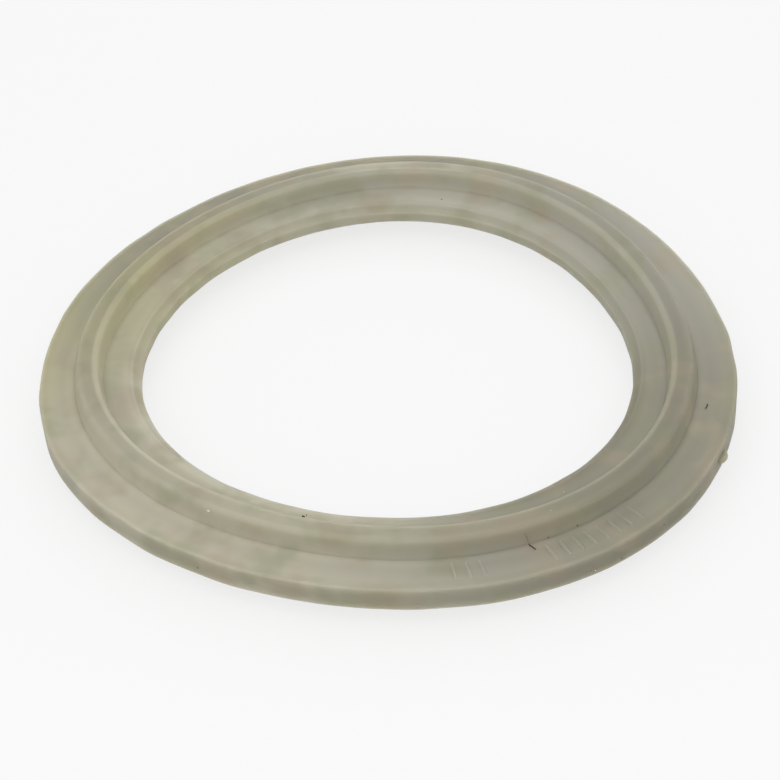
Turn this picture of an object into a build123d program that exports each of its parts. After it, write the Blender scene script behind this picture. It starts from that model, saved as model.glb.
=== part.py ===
# Clamp gasket: one moulded silicone ring with the same sealing bead on both faces.
# The ring's axis is Z, and the origin is the centre of its bore at mid-thickness.

import os
from build123d import *

# Ring, from the bore outwards: 50.5 across the rim and 42.8 across the bead's middle
bore_diameter = 35.6
inner_land_width = 2.55  # flat ring from the bore to the bead's foot
bead_width = 2.1  # at its feet
outer_land_width = 2.8  # flat ring from the bead's foot to the rim
web_thickness = 1.75
rim_edge_radius = 0.12
bore_chamfer_width = 0.6  # across the face
bore_chamfer_depth = 0.48  # down the bore's wall

# Bead: steep flanks and a broad rounded top
bead_height = 1.5  # above the web, on either face
bead_flank_angle = 78  # degrees
bead_top_radius = 0.45

# Stub of moulding flash on the rim, at the parting plane
flash_angle = -31.6  # degrees from +X
flash_width = 1.2
flash_reach = 0.4  # past the rim
flash_thickness = 0.5

# Plain raised bars from the mould, on the upper face outside the bead
bar_width = 0.2
bar_height = 0.1
bar_foot_gap = 0.5  # from the bead's foot
bar_rim_gap = 0.85  # from the rim
bar_pitch = 2.2  # degrees
long_row_angle = -67
long_row_bars = 8
short_row_angle = -82.3
short_row_bars = 3

bore_radius = bore_diameter / 2
bead_radius = bore_radius + inner_land_width + bead_width / 2
outer_foot_radius = bead_radius + bead_width / 2
rim_radius = outer_foot_radius + outer_land_width
web_top = web_thickness / 2
bar_length = outer_land_width - bar_foot_gap - bar_rim_gap
bar_circle_radius = outer_foot_radius + bar_foot_gap + bar_length / 2

with BuildPart() as gasket:
    # The section's upper half, then its mirror image below mid-thickness
    with BuildSketch(Plane.XZ) as section:
        with Locations((bore_radius, 0)):
            Rectangle(rim_radius - bore_radius, web_top, align=(Align.MIN, Align.MIN))
        face_line = section.edges().sort_by(Axis.Y)[-1]
        bore_corner, rim_corner = section.vertices().group_by(Axis.Y)[-1].sort_by(Axis.X)
        chamfer(bore_corner, bore_chamfer_width, bore_chamfer_depth, reference=face_line)
        fillet(rim_corner, rim_edge_radius)
        with Locations((bead_radius, web_top)):
            Trapezoid(bead_width, bead_height, bead_flank_angle, align=(Align.CENTER, Align.MIN))
        fillet(section.vertices().group_by(Axis.Y)[-1], bead_top_radius)
        mirror(about=Plane.XZ)
    revolve(axis=Axis.Z)

    # The bars rise from mid-thickness, so each is one with the web
    with BuildSketch(Plane.XY):
        for first_angle, count in (
            (long_row_angle, long_row_bars),
            (short_row_angle, short_row_bars),
        ):
            row_span = (count - 1) * bar_pitch
            with PolarLocations(bar_circle_radius, count, first_angle, row_span, endpoint=True):
                SlotOverall(bar_length, bar_width)
    extrude(amount=web_top + bar_height)

    # The flash stub is a half oval, with its other half inside the rim
    with BuildSketch(Plane.XY):
        with PolarLocations(rim_radius, 1, flash_angle):
            Ellipse(flash_reach, flash_width / 2)
    extrude(amount=flash_thickness / 2, both=True)

gasket.part.label = "gasket"

os.makedirs("parts", exist_ok=True)
export_step(gasket.part, "parts/gasket.step")
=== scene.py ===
# Clamp gasket in milky silicone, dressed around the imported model.
# Lengths are in millimetres and angles in degrees, and become metres and radians where they are used.

import math

import bmesh
import bpy
from mathutils import Matrix, Vector, noise


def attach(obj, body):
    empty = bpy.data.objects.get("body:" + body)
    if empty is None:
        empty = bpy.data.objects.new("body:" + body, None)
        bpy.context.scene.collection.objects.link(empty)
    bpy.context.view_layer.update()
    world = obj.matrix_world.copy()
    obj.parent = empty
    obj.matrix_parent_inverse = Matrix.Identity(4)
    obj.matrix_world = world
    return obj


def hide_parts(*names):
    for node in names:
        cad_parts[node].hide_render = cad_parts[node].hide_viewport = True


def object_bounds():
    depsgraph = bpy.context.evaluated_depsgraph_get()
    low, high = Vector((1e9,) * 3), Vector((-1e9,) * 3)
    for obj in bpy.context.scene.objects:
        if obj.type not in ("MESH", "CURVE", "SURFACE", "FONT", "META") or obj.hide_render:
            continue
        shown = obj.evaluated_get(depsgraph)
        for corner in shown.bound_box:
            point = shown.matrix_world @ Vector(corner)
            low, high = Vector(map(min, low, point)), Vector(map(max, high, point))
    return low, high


mm = 0.001

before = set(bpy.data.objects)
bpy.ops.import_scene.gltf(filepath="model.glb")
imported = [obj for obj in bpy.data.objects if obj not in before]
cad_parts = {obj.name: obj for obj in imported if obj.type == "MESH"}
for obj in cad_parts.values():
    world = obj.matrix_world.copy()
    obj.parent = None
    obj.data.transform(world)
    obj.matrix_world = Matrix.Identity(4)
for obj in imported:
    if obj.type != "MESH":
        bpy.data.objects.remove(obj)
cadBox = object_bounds()
print("frame loaded")


# Shader maths

class Wire:  # an output socket that adds its own nodes when it is used in a sum
    def __init__(self, tree, socket=None):
        self.tree = tree
        self.socket = socket

    def node(self, kind, settings=None, sockets=None, output=0):
        made = self.tree.nodes.new(kind)
        for name, value in (settings or {}).items():
            setattr(made, name, value)
        for name, value in (sockets or {}).items():
            if isinstance(value, Wire):
                self.tree.links.new(value.socket, made.inputs[name])
            else:
                made.inputs[name].default_value = value
        return Wire(self.tree, made.outputs[output])

    def maths(self, operation, *values):
        return self.node("ShaderNodeMath", {"operation": operation}, dict(enumerate(values)))

    def __add__(self, other):
        return self.maths("ADD", self, other)

    def __radd__(self, other):
        return self.maths("ADD", other, self)

    def __sub__(self, other):
        return self.maths("SUBTRACT", self, other)

    def __rsub__(self, other):
        return self.maths("SUBTRACT", other, self)

    def __mul__(self, other):
        return self.maths("MULTIPLY", self, other)

    def __rmul__(self, other):
        return self.maths("MULTIPLY", other, self)

    def step(self, start, end):  # 0 up to start and 1 from end, smooth between them
        settings = {"interpolation_type": "SMOOTHSTEP"}
        return self.node("ShaderNodeMapRange", settings, {"Value": self, "From Min": start, "From Max": end})

    def blend(self, first, second):  # first where this value is 0, second where it is 1
        sockets = {"Factor": self, 6: first, 7: second}
        return self.node("ShaderNodeMix", {"data_type": "RGBA"}, sockets, 2)


def tint(red, green, blue):  # a colour as an image program gives it, 0 to 255
    parts = [value / 255 for value in (red, green, blue)]
    return [p / 12.92 if p <= 0.04045 else ((p + 0.055) / 1.055) ** 2.4 for p in parts] + [1.0]


def newMaterial(name):
    material = bpy.data.materials.new(name)
    material.use_nodes = True
    tree = material.node_tree
    tree.nodes.clear()
    return material, Wire(tree)


def finishMaterial(start, shader):
    surface = start.tree.nodes.new("ShaderNodeOutputMaterial").inputs["Surface"]
    start.tree.links.new(shader.socket, surface)


# The ring's shape

ringShape = dict(
    boreRadius=17.8,
    innerLand=2.55,  # flat ring from the bore to the bead
    beadWidth=2.1,
    beadHeight=1.5,
    flankAngle=78,
    topRounding=0.45,
    outerLand=2.8,  # flat ring from the bead to the rim
    webThickness=1.75,
    rimRounding=0.12,
    boreChamfer=(0.6, 0.48),  # across the face and down the wall
    creaseRounding=0.07,
    stepsRound=480,
    parts=dict(  # mesh steps along each stretch of the section
        wall=2,
        chamfer=3,
        innerLand=6,
        flank=5,
        arc=8,
        top=3,
        outerLand=9,
        rimArc=4,
        rimWall=4,
    ),
    mergeGap=0.001,
    slack=0.02,  # by which a point may miss the face or crease that it is taken for
)

ringLie = dict(  # the soft ring lies a little out of round
    pushes=[(2, 0.516, -116.6), (3, 0.597, -143.9)],  # times round, push and turn
    borePushes=[(1, 0.112, -100.8), (2, 0.098, 28.3), (3, 0.196, 9.5)],  # these fade out at the bead
    rimDip=(176, 30, -0.33),  # azimuth, half its length and push
    waver=0.07,  # of the trimmed rim and the bore's edge
    waverLength=2.6,
    rimWaverWidth=0.7,
    boreWaverWidth=0.9,
)

rawBars = dict(  # plain raised bars from the mould
    footGap=0.5,  # between the bead and a bar
    length=1.45,
    width=0.2,
    height=0.1,
    rows=[(-67, 8), (-82.3, 3)],  # azimuth of the first bar and how many bars
    pitch=2.2,
    edge=0.06,
    meshMargin=2.1,  # of finer mesh past the end bars
    meshGap=0.15,  # between the bead and the finer mesh
    cuts=5,
)

flashStub = dict(angle=-31.6, halfWidth=0.6, reach=0.4, halfHeight=0.25, patch=3.0, cuts=5)

halfWeb = ringShape["webThickness"] / 2
boreRadius = ringShape["boreRadius"]
beadRadius = boreRadius + ringShape["innerLand"] + ringShape["beadWidth"] / 2
innerFoot = beadRadius - ringShape["beadWidth"] / 2
outerFoot = beadRadius + ringShape["beadWidth"] / 2
rimRadius = outerFoot + ringShape["outerLand"]
rimRounding = ringShape["rimRounding"]
chamferAcross, chamferDown = ringShape["boreChamfer"]
creaseRings = [  # circles of the upper face where two flat stretches meet
    (boreRadius, halfWeb - chamferDown),
    (boreRadius + chamferAcross, halfWeb),
    (innerFoot, halfWeb),
    (outerFoot, halfWeb),
]
outerFlat = (outerFoot + rawBars["meshGap"], rimRadius - rimRounding)
barCircle = outerFoot + rawBars["footGap"] + rawBars["length"] / 2
barAngles = [first + rawBars["pitch"] * bar for first, count in rawBars["rows"] for bar in range(count)]

# The bead's steep flanks end in shoulders, from which arcs lead to the flat of its top
beadTop = halfWeb + ringShape["beadHeight"]
flank = math.radians(ringShape["flankAngle"])
topRounding = ringShape["topRounding"]
arcStart = topRounding * math.tan(flank / 2)  # from the sharp corner, along either side
sharpCorner = ringShape["beadWidth"] / 2 - ringShape["beadHeight"] / math.tan(flank)
flatTop = sharpCorner - arcStart
shoulderOut = sharpCorner + arcStart * math.cos(flank)
shoulderTop = beadTop - arcStart * math.sin(flank)


def runTo(bm, tip, radius, height, parts):  # straight on from the tip
    part = (Vector((radius, 0, height)) * mm - tip.co) / parts
    for _ in range(parts):
        made = bmesh.ops.extrude_vert_indiv(bm, verts=[tip])
        tip = made["verts"][0]
        tip.co += part
    return tip


def arcFrom(bm, tip, radius, height, turn, parts):  # round the point at this radius and height
    centre = (radius * mm, 0, height * mm)
    turned = math.radians(turn)
    made = bmesh.ops.spin(bm, geom=[tip], cent=centre, axis=(0, 1, 0), angle=turned, steps=parts)
    return [v for v in made["geom_last"] if isinstance(v, bmesh.types.BMVert)][0]


def nearTo(value, target):
    return abs(value - target) < ringShape["slack"] * mm


def placeOf(point):  # azimuth in degrees, radius and height in millimetres
    return math.degrees(math.atan2(point.y, point.x)), math.hypot(point.x, point.y) / mm, point.z / mm


def smooth(value, start, end):  # 0 up to start and 1 from end, smooth between them
    share = min(max((value - start) / (end - start), 0), 1)
    return share * share * (3 - 2 * share)


def pushAt(angle, pushes):
    return sum(push * math.cos(math.radians(times * angle - turn)) for times, push, turn in pushes)


def outOfRound(angle, radius):  # how far a point of the section moves outwards
    nearBore = 1 - smooth(radius, boreRadius, innerFoot)
    dipAngle, halfLength, dip = ringLie["rimDip"]
    nearDip = 1 - smooth(abs((angle - dipAngle + 180) % 360 - 180), 0, halfLength)
    nearRim = smooth(radius, outerFoot, rimRadius)
    borePush = pushAt(angle, ringLie["borePushes"]) * nearBore
    return pushAt(angle, ringLie["pushes"]) + borePush + dip * nearDip * nearRim


def waver(angle, radius):  # a little unevenness at both edges
    turned = math.radians(angle)
    along = Vector((math.cos(turned), math.sin(turned), 0)) * radius / ringLie["waverLength"]
    atRim = smooth(radius, rimRadius - ringLie["rimWaverWidth"], rimRadius)
    atBore = 1 - smooth(radius, boreRadius, boreRadius + ringLie["boreWaverWidth"])
    return ringLie["waver"] * noise.noise(along) * (atRim + atBore)


def onRing(angle, radius, height):  # a point of the round ring, where it lies now
    turned = math.radians(angle)
    lain = (radius + outOfRound(angle, radius) + waver(angle, radius)) * mm
    return Vector((lain * math.cos(turned), lain * math.sin(turned), height * mm))


def refine(bm, chosen, cuts):
    faces = {f for f in bm.faces if chosen(*placeOf(f.calc_center_median()))}
    edges = [edge for edge in bm.edges if not faces.isdisjoint(edge.link_faces)]
    bmesh.ops.subdivide_edges(bm, edges=edges, cuts=cuts, use_grid_fill=True)


def onBarSector(angle, radius, height):  # on the upper outer land, at or near a row of bars
    if height < halfWeb - ringShape["slack"] or not outerFlat[0] < radius < outerFlat[1]:
        return False
    margin = rawBars["meshMargin"]
    spans = [(first, first + rawBars["pitch"] * (count - 1)) for first, count in rawBars["rows"]]
    return any(first - margin < angle < last + margin for first, last in spans)


def barHeight(angle, radius):
    halfWidth = rawBars["width"] / 2
    halfEdge = rawBars["edge"] / 2
    tallest = 0
    for barAngle in barAngles:
        along = max(abs(radius - barCircle) - rawBars["length"] / 2 + halfWidth, 0)
        across = radius * math.radians(angle - barAngle)
        rise = 1 - smooth(math.hypot(along, across), halfWidth - halfEdge, halfWidth + halfEdge)
        tallest = max(tallest, rise * rawBars["height"])
    return tallest


def onStubPatch(angle, radius, height):  # on the rim's wall near the flash stub
    onWall = radius > rimRadius - rimRounding + ringShape["slack"] and abs(height) < halfWeb - rimRounding
    return onWall and abs(angle - flashStub["angle"]) < flashStub["patch"]


def stubReach(angle, radius, height):
    across = radius * math.radians(angle - flashStub["angle"]) / flashStub["halfWidth"]
    upwards = height / flashStub["halfHeight"]
    inside = max(1 - across * across, 0) * max(1 - upwards * upwards, 0)
    return flashStub["reach"] * math.sqrt(inside)


def onCrease(edge):
    ends = [(v.co.xy.length, abs(v.co.z)) for v in edge.verts]
    for radius, height in creaseRings:
        if all(nearTo(out, radius * mm) and nearTo(up, height * mm) for out, up in ends):
            return True
    return False


bm = bmesh.new()
parts = ringShape["parts"]
flankAngle = ringShape["flankAngle"]

tip = bm.verts.new((boreRadius * mm, 0, 0))  # the section's upper half, from the bore to the rim
tip = runTo(bm, tip, boreRadius, halfWeb - chamferDown, parts["wall"])
tip = runTo(bm, tip, boreRadius + chamferAcross, halfWeb, parts["chamfer"])
tip = runTo(bm, tip, innerFoot, halfWeb, parts["innerLand"])
tip = runTo(bm, tip, beadRadius - shoulderOut, shoulderTop, parts["flank"])
tip = arcFrom(bm, tip, beadRadius - flatTop, beadTop - topRounding, flankAngle, parts["arc"])
tip = runTo(bm, tip, beadRadius + flatTop, beadTop, parts["top"])
tip = arcFrom(bm, tip, beadRadius + flatTop, beadTop - topRounding, flankAngle, parts["arc"])
tip = runTo(bm, tip, outerFoot, halfWeb, parts["flank"])
tip = runTo(bm, tip, rimRadius - rimRounding, halfWeb, parts["outerLand"])
tip = arcFrom(bm, tip, rimRadius - rimRounding, halfWeb - rimRounding, 90, parts["rimArc"])
tip = runTo(bm, tip, rimRadius, 0, parts["rimWall"])

mergeGap = ringShape["mergeGap"] * mm
bmesh.ops.mirror(
    bm, geom=bm.verts[:] + bm.edges[:], matrix=Matrix.Identity(4), merge_dist=mergeGap, axis="Z"
)
bmesh.ops.spin(
    bm,
    geom=bm.verts[:] + bm.edges[:],
    cent=(0, 0, 0),
    axis=(0, 0, 1),
    angle=math.tau,
    steps=ringShape["stepsRound"],
    use_merge=True,
)
bmesh.ops.remove_doubles(bm, verts=bm.verts, dist=mergeGap)
bmesh.ops.recalc_face_normals(bm, faces=bm.faces)
bmesh.ops.bevel(
    bm,
    geom=[edge for edge in bm.edges if onCrease(edge)],
    offset=ringShape["creaseRounding"] * mm,
    segments=3,
    profile=0.5,
    affect="EDGES",
    material=-1,
)
refine(bm, onBarSector, rawBars["cuts"])
refine(bm, onStubPatch, flashStub["cuts"])

roundPlace = bm.verts.layers.float_vector.new("roundPlace")  # its place on the round ring, for patterns
for v in bm.verts:
    angle, radius, height = placeOf(v.co)
    v[roundPlace] = v.co / mm
    if onBarSector(angle, radius, height):
        height += barHeight(angle, radius)
    if onStubPatch(angle, radius, height):
        radius += stubReach(angle, radius, height)
    v.co = onRing(angle, radius, height)
bmesh.ops.recalc_face_normals(bm, faces=bm.faces)

ringMesh = bpy.data.meshes.new("gasketRing")
bm.to_mesh(ringMesh)
bm.free()
ringMesh.shade_smooth()
ring = bpy.data.objects.new("gasketRing", ringMesh)
bpy.context.scene.collection.objects.link(ring)
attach(ring, "root")
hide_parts("gasket")
print("ring:", sum(len(f.vertices) - 2 for f in ringMesh.polygons), "triangles")


# Silicone

silicone = dict(
    base=tint(174, 172, 159),
    pale=tint(193, 189, 171),
    brown=tint(156, 153, 137),
    rosy=tint(178, 166, 147),
    yellow=tint(181, 177, 147),
    olive=tint(160, 161, 135),
    dim=tint(147, 145, 132),
    palest=tint(205, 202, 184),
    # painted light: the ring is painted paler towards the left front
    paintedLightSide=(-130, 5, 26),  # azimuth on the ring, and the distances within which it is full and gone
    # painted shade: the ring is painted darker and browner towards the front right
    paintedShadeSide=(-38, 5, 22),
    yellowSide=(165, 6, 24),
    # painted shade on the outer land at the back and painted light on the inner land there
    backSide=(105, 10, 30),
    frontSide=(-92, 9, 20),
    edgeShadeSide=(-45, 5, 16),  # where the land's inner edge has painted shade
    edgeHighlightSide=(-140, 8, 20),  # and where it has a painted highlight
    crestHighlightSide=(84, 3, 12),  # where the bead's top has a painted highlight
    # strengths of the painted shade and light at the back, the painted crest highlight and the painted edge
    # highlight
    sideShares=dict(outerFlat=0.8, innerFlat=0.4, crest=0.9, innerEdge=0.7),
    mottle=dict(scale=0.33, start=0.45, full=0.68, share=0.5),  # soft olive patches
    blush=dict(scale=0.26, start=0.48, full=0.66, share=0.5),  # and rosy ones
    zones=dict(  # how far outwards from a circle of the section each starts, is full, fades and is gone
        boreWall=(0.3, 0.7),  # a zone with two numbers only starts or only fades
        boreEdge=(0.2, 0.55, 0.65, 1.1),
        innerEdge=(0.7, 1.5),
        innerFlat=(-0.05, 0.15),
        innerFoot=(-1.05, -0.05, -0.05, 0.15),
        innerFlank=(-0.2, 0.05, 0.25, 0.55),
        bead=(-1.0, -0.8, 0.95, 1.15),
        crest=(-0.6, -0.4, 0.3, 0.6),
        beadTop=(-0.5, -0.3, 0.7, 0.9),
        outerFoot=(-0.2, 0, 0.05, 1.05),
        outerFlat=(-0.25, 0.15),
        toolLines=(-0.15, 0.05, 0.15, 0.95),
        bars=(0.15, 0.25),
        rimEdge=(-0.95, -0.15),
        rimWall=(-0.14, -0.03),
    ),
    # painted shade on the walls, the bead and the land's inner edge
    paintedShadeTint=tint(247, 247, 241),
    paintedShadeLevel=0.7056,  # share of the colour left where the painted shade is full
    paintedShade=dict(rimWall=0.35, bead=0.25, frontBead=0.25, boreWall=0.3, shadedInnerEdge=0.5),
    # painted light in the creases and at the feet, and painted shade on the rim edge, the bore edge, the far
    # bead top and the bar tops
    paintedLight=dict(innerFlank=0.1, innerFoot=0.12, outerFoot=0.2),
    paintedDarkening=dict(rimEdge=0.14, boreEdge=0.1, beadTop=0.15, barTops=0.1),
    barRise=(0.02, 0.09),  # heights above the land where the bars' painted shade starts and is full
    grainScale=9.0,
    grainGloss=0.12,
    toolLineTurns=40,  # radians for each millimetre outwards
    toolLineShare=0.3,
    bumpStrength=0.5,
    bumpHeight=0.01,
    roughness=0.48,
    indexOfRefraction=1.41,
    specular=0.25,
    scatter=1.0,
    scatterDepth=2.6,
    scatterTint=(1.0, 0.95, 0.75),
)


def noisePattern(place, scale, detail=2.0):
    return place.node("ShaderNodeTexNoise", None, {"Vector": place, "Scale": scale, "Detail": detail}, "Fac")


def patches(place, look):  # soft patches, as strong as the look's share
    return noisePattern(place, look["scale"]).step(look["start"], look["full"]) * look["share"]


def sidePatch(place, side):  # 1 near this azimuth of the bead, 0 far from it
    azimuth, near, far = side
    turned = math.radians(azimuth)
    centre = (beadRadius * math.cos(turned), beadRadius * math.sin(turned), 0)
    away = place.node("ShaderNodeVectorMath", {"operation": "DISTANCE"}, {0: place, 1: centre}, "Value")
    return 1 - away.step(near, far)


def rising(radius, circle, start, full):  # 0 to 1 between two distances outwards from this circle
    return radius.step(circle + start, circle + full)


def falling(radius, circle, fade, gone):
    return 1 - rising(radius, circle, fade, gone)


def band(radius, circle, start, full, fade, gone):
    return rising(radius, circle, start, full) * falling(radius, circle, fade, gone)


material, start = newMaterial("milkySilicone")
place = start.node("ShaderNodeAttribute", {"attribute_name": "roundPlace"}, output="Vector")
flatPlace = start.node("ShaderNodeVectorMath", {"operation": "MULTIPLY"}, {0: place, 1: (1, 1, 0)}, "Vector")
radius = start.node("ShaderNodeVectorMath", {"operation": "LENGTH"}, {0: flatPlace}, "Value")
objectPlace = start.node("ShaderNodeTexCoord", output="Object")
above = start.node("ShaderNodeSeparateXYZ", None, {"Vector": objectPlace}, "Z")
back = sidePatch(place, silicone["backSide"])
front = sidePatch(place, silicone["frontSide"])

# Stretches of the section, from the bore to the rim
zones = silicone["zones"]
boreWall = falling(radius, boreRadius, *zones["boreWall"])
boreEdge = band(radius, boreRadius, *zones["boreEdge"])
innerEdge = falling(radius, boreRadius, *zones["innerEdge"])
innerFlatZone = falling(radius, innerFoot, *zones["innerFlat"])
innerFootZone = band(radius, innerFoot, *zones["innerFoot"])
innerFlank = band(radius, innerFoot, *zones["innerFlank"])
bead = band(radius, beadRadius, *zones["bead"])
crest = band(radius, beadRadius, *zones["crest"])
farBeadTop = band(radius, beadRadius, *zones["beadTop"]) * (1 - front)
outerFootZone = band(radius, outerFoot, *zones["outerFoot"])
outerFlatZone = rising(radius, outerFoot, *zones["outerFlat"])
toolLineZone = band(radius, outerFoot, *zones["toolLines"])
barStart, barFull = [(halfWeb + rise) * mm for rise in silicone["barRise"]]
barTops = above.step(barStart, barFull) * rising(radius, outerFoot, *zones["bars"])
rimEdge = rising(radius, rimRadius, *zones["rimEdge"])
rimWall = rising(radius, rimRadius, *zones["rimWall"])

# Colour, with painted light and shade round the ring and soft random patches
sideShares = silicone["sideShares"]
colour = sidePatch(place, silicone["yellowSide"]).blend(silicone["base"], silicone["yellow"])
# Painted light: paler towards the left front
colour = sidePatch(place, silicone["paintedLightSide"]).blend(colour, silicone["pale"])
# Painted shade: darker towards the front right
colour = sidePatch(place, silicone["paintedShadeSide"]).blend(colour, silicone["brown"])
# Painted shade on the outer land at the back, painted light on the inner land there
colour = (back * outerFlatZone * sideShares["outerFlat"]).blend(colour, silicone["dim"])
colour = (back * innerFlatZone * sideShares["innerFlat"]).blend(colour, silicone["palest"])
# Painted highlight on the bead's top at the back
paintedCrestHighlight = sidePatch(place, silicone["crestHighlightSide"]) * crest * sideShares["crest"]
colour = paintedCrestHighlight.blend(colour, silicone["palest"])
# Painted highlight on the land's inner edge at the left front
paintedEdgeHighlight = sidePatch(place, silicone["edgeHighlightSide"]) * innerEdge * sideShares["innerEdge"]
colour = paintedEdgeHighlight.blend(colour, silicone["palest"])
colour = patches(place, silicone["mottle"]).blend(colour, silicone["olive"])
colour = patches(place, silicone["blush"]).blend(colour, silicone["rosy"])

# Painted shade: the rim wall, the bead and the bore wall are darkened, the bead most at the front, and the
# land's inner edge at the front right
paintedShadeShares = silicone["paintedShade"]
shadedInnerEdge = sidePatch(place, silicone["edgeShadeSide"]) * innerEdge
paintedBeadShade = bead * (front * paintedShadeShares["frontBead"] + paintedShadeShares["bead"])
paintedWallShade = rimWall * paintedShadeShares["rimWall"] + paintedBeadShade + boreWall * paintedShadeShares["boreWall"]
paintedShade = paintedWallShade + shadedInnerEdge * paintedShadeShares["shadedInnerEdge"]
darker = [value * silicone["paintedShadeLevel"] for value in silicone["paintedShadeTint"][:3]] + [1.0]
multiply = {"data_type": "RGBA", "blend_type": "MULTIPLY"}
colour = start.node("ShaderNodeMix", multiply, {"Factor": paintedShade, 6: colour, 7: darker}, 2)

# Painted light and shade: the inner flank and both feet are lightened as if light wandering through the
# milky ring filled them, and the rim edge, the bore edge, the far bead top and the bar tops are darkened
paintedLights = silicone["paintedLight"]
paintedDarkenings = silicone["paintedDarkening"]
paintedFootLight = innerFootZone * paintedLights["innerFoot"] + outerFootZone * paintedLights["outerFoot"]
paintedFill = innerFlank * paintedLights["innerFlank"] + paintedFootLight
paintedEdgeDarkening = rimEdge * paintedDarkenings["rimEdge"] + boreEdge * paintedDarkenings["boreEdge"]
paintedDarkeningSum = paintedEdgeDarkening + farBeadTop * paintedDarkenings["beadTop"] + barTops * paintedDarkenings["barTops"]
paintedLightAndShade = paintedFill - paintedDarkeningSum + 1
colour = start.node("ShaderNodeVectorMath", {"operation": "SCALE"}, {0: colour, "Scale": paintedLightAndShade}, "Vector")

# Fine grain, and the fine lines that the mould's cutter left by the bead
grain = noisePattern(place, silicone["grainScale"], 3.0)
toolLines = radius.maths("SINE", radius * silicone["toolLineTurns"]) * toolLineZone
bump = start.node(
    "ShaderNodeBump",
    None,
    {
        "Strength": silicone["bumpStrength"],
        "Distance": silicone["bumpHeight"] * mm,
        "Height": grain + toolLines * silicone["toolLineShare"],
    },
)
shader = start.node(
    "ShaderNodeBsdfPrincipled",
    {"subsurface_method": "RANDOM_WALK"},
    {
        "Base Color": colour,
        "Roughness": silicone["roughness"] + (grain - 0.5) * silicone["grainGloss"],  # grain is about 0.5
        "IOR": silicone["indexOfRefraction"],
        "Specular IOR Level": silicone["specular"],
        "Subsurface Weight": silicone["scatter"],
        "Subsurface Radius": silicone["scatterTint"],
        "Subsurface Scale": silicone["scatterDepth"] * mm,
        "Normal": bump,
    },
)
finishMaterial(start, shader)
ringMesh.materials.append(material)
print("silicone ready")


# Lint and specks that lie on the ring

dirt = dict(
    lintThickness=0.08,
    lint=[  # azimuth, radius and height along each fibre
        [(-69.4, 22.5, 0.92), (-69.3, 22.68, 0.94), (-69.1, 22.9, 0.93), (-68.95, 23.08, 0.91)],
        [(-22.4, 23.3, 0.91), (-22.8, 23.31, 0.93), (-23.2, 23.27, 0.92), (-23.6, 23.23, 0.91)],
    ],
    hairThickness=0.035,
    hair=[[(-69.8, 22.31, 1.72), (-69.6, 22.37, 1.46), (-69.5, 22.42, 1.2), (-69.3, 22.49, 0.93)]],
    darkGrains=[  # azimuth, radius, height and size
        (-110, 19.2, 0.9, 0.2),
        (-109.5, 18.95, 0.88, 0.09),
        (-66, 22.44, 0.95, 0.11),
        (-60.7, 22.43, 1.02, 0.12),
        (74.6, 19.1, 0.88, 0.1),
        (-123.2, 25.24, -0.2, 0.1),
        (-62.7, 25.24, -0.3, 0.08),
        (-57.5, 25.25, -0.5, 0.12),
        (-49.2, 25.25, 0.1, 0.09),
    ],
    paleGrains=[
        (-57.1, 19.23, 0.89, 0.1),
        (-64.3, 21.6, 2.38, 0.08),
        (-125.6, 22.17, 2.0, 0.26),
        (-62, 25.25, -0.45, 0.14),
    ],
    lumps=0.35,  # share of a grain's radius
    lumpScale=2,
    grainStretch=(1.25, 0.85, 0.6),
    grainTurn=7,  # times its azimuth
    patchScale=9.0,
    patchEdges=(0.4, 0.6),
    roughness=0.8,
    patchGloss=0.1,
    dark=tint(74, 70, 60),
    darkest=tint(48, 45, 38),
    hairColour=tint(132, 127, 112),
    hairShade=tint(116, 111, 96),
    pale=tint(214, 211, 196),
    palest=tint(230, 228, 216),
)


def addFibres(name, fibres, thickness):
    curve = bpy.data.curves.new(name + "Line", "CURVE")
    curve.dimensions = "3D"
    curve.bevel_depth = thickness / 2 * mm
    curve.bevel_resolution = 2
    curve.use_fill_caps = True
    for points in fibres:
        spline = curve.splines.new("NURBS")
        spline.points.add(len(points) - 1)
        for point, place in zip(spline.points, points):
            point.co = (*onRing(*place), 1)
        spline.order_u = 3
        spline.use_endpoint_u = True
    line = bpy.data.objects.new(name + "Line", curve)
    bpy.context.scene.collection.objects.link(line)
    shown = line.evaluated_get(bpy.context.evaluated_depsgraph_get())
    mesh = bpy.data.meshes.new_from_object(shown)
    bpy.data.objects.remove(line)
    return mesh


def addGrains(grains):  # lumpy crumbs in one mesh
    bm = bmesh.new()
    for azimuth, radius, height, size in grains:
        made = bmesh.ops.create_icosphere(bm, subdivisions=2, radius=size / 2 * mm)
        ownLumps = Vector((azimuth, radius, height))
        for v in made["verts"]:
            onGrain = v.co / (size * mm) * dirt["lumpScale"]
            v.co *= 1 + dirt["lumps"] * noise.noise(onGrain + ownLumps)
        turned = Matrix.Rotation(math.radians(azimuth * dirt["grainTurn"]), 3, "Z")
        bmesh.ops.scale(bm, vec=dirt["grainStretch"], verts=made["verts"])
        bmesh.ops.rotate(bm, cent=(0, 0, 0), matrix=turned, verts=made["verts"])
        bmesh.ops.translate(bm, vec=onRing(azimuth, radius, height), verts=made["verts"])
    mesh = bpy.data.meshes.new("grains")
    bm.to_mesh(mesh)
    bm.free()
    return mesh


def addDirt(name, mesh, first, second):
    mesh.name = name
    mesh.shade_smooth()
    piece = bpy.data.objects.new(name, mesh)
    bpy.context.scene.collection.objects.link(piece)
    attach(piece, "root")
    material, start = newMaterial(name)
    place = start.node("ShaderNodeTexCoord", output="Object")
    pattern = noisePattern(place, dirt["patchScale"] / mm)
    colour = pattern.step(*dirt["patchEdges"]).blend(first, second)
    roughness = dirt["roughness"] + pattern * dirt["patchGloss"]
    shader = start.node("ShaderNodeBsdfPrincipled", None, {"Base Color": colour, "Roughness": roughness})
    finishMaterial(start, shader)
    mesh.materials.clear()
    mesh.materials.append(material)


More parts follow.
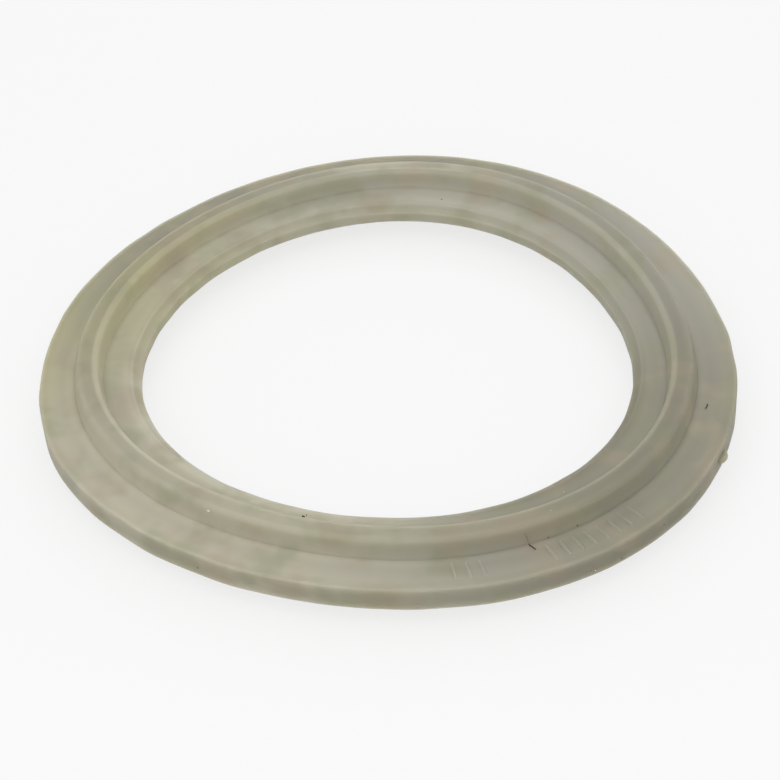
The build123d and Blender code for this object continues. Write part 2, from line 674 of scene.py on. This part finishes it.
lintMesh = addFibres("lint", dirt["lint"], dirt["lintThickness"])
hairMesh = addFibres("hair", dirt["hair"], dirt["hairThickness"])
addDirt("darkLint", lintMesh, dirt["dark"], dirt["darkest"])
addDirt("fineHair", hairMesh, dirt["hairColour"], dirt["hairShade"])
addDirt("darkSpecks", addGrains(dirt["darkGrains"]), dirt["dark"], dirt["darkest"])
addDirt("paleSpecks", addGrains(dirt["paleGrains"]), dirt["pale"], dirt["palest"])
print("lint and specks ready")


# Floor, light and camera

floorBottom = cadBox[0].z
studio = dict(
    floor=tint(240, 240, 240),
    floorReach=2000,
    sky=0.68,
    skySeen=0.94,  # what the camera sees past the floor
    keyPlace=(-15, -124, 153),
    keySize=260,
    keyPower=0.13,
    backPlace=(20, 135, 112),
    backSize=60,
    backPower=0.022,
    whiteShare=0.75,  # of the floor that the camera sees
)


def seenDirectly(start):  # 1 for what the camera sees, also in a gloss or through glass
    direct = start.node("ShaderNodeLightPath", output="Is Camera Ray")
    direct = direct + start.node("ShaderNodeLightPath", output="Is Glossy Ray")
    direct = direct + start.node("ShaderNodeLightPath", output="Is Transmission Ray")
    return direct.maths("MINIMUM", direct, 1.0)


bm = bmesh.new()
bmesh.ops.create_grid(bm, x_segments=1, y_segments=1, size=studio["floorReach"] * mm)
bmesh.ops.translate(bm, vec=(0, 0, floorBottom), verts=bm.verts)
floorMesh = bpy.data.meshes.new("floor")
bm.to_mesh(floorMesh)
bm.free()
floor = bpy.data.objects.new("floor", floorMesh)
bpy.context.scene.collection.objects.link(floor)

material, start = newMaterial("paleFloor")
diffuse = start.node("ShaderNodeBsdfDiffuse", None, {"Color": studio["floor"]})
white = start.node("ShaderNodeEmission", None, {"Color": (1, 1, 1, 1), "Strength": 1.0})
share = seenDirectly(start) * studio["whiteShare"]
shader = start.node("ShaderNodeMixShader", None, {0: share, 1: diffuse, 2: white})
finishMaterial(start, shader)
floorMesh.materials.append(material)

world = bpy.data.worlds.new("studio")
world.use_nodes = True
world.node_tree.nodes.clear()
start = Wire(world.node_tree)
sky = start.node("ShaderNodeBackground", None, {"Color": (1, 1, 1, 1), "Strength": studio["sky"]})
skySeen = start.node("ShaderNodeBackground", None, {"Color": (1, 1, 1, 1), "Strength": studio["skySeen"]})
skyShader = start.node("ShaderNodeMixShader", None, {0: seenDirectly(start), 1: sky, 2: skySeen})
worldSurface = start.tree.nodes.new("ShaderNodeOutputWorld").inputs["Surface"]
start.tree.links.new(skyShader.socket, worldSurface)
bpy.context.scene.world = world


def addLamp(name, place, size, power):  # a round soft lamp that faces the part
    lamp = bpy.data.lights.new(name, "AREA")
    lamp.shape = "DISK"
    lamp.size = size * mm
    lamp.energy = power
    lampObject = bpy.data.objects.new(name, lamp)
    lampObject.location = Vector(place) * mm
    lampObject.rotation_euler = (-lampObject.location).to_track_quat("-Z", "Y").to_euler()
    bpy.context.scene.collection.objects.link(lampObject)


addLamp("keyLamp", studio["keyPlace"], studio["keySize"], studio["keyPower"])
addLamp("backLamp", studio["backPlace"], studio["backSize"], studio["backPower"])

view = dict(
    elevation=38.9,
    roll=-4.19,
    distance=152.7,
    aim=(-0.03, -1.05, -2.18),
    lens=96.37,
    sensor=36,
    nearest=10,
)
cameraData = bpy.data.cameras.new("camera")
cameraData.lens = view["lens"]
cameraData.sensor_width = view["sensor"]
cameraData.clip_start = view["nearest"] * mm
camera = bpy.data.objects.new("camera", cameraData)
tilt = Matrix.Rotation(math.radians(90 - view["elevation"]), 4, "X")
roll = Matrix.Rotation(math.radians(view["roll"]), 4, "Z")
aim = Matrix.Translation(Vector(view["aim"]) * mm)
away = Matrix.Translation((0, 0, view["distance"] * mm))
camera.matrix_world = aim @ tilt @ roll @ away
bpy.context.scene.collection.objects.link(camera)
bpy.context.scene.camera = camera
bpy.context.scene.view_settings.view_transform = "Standard"
print("floor, light and camera ready")
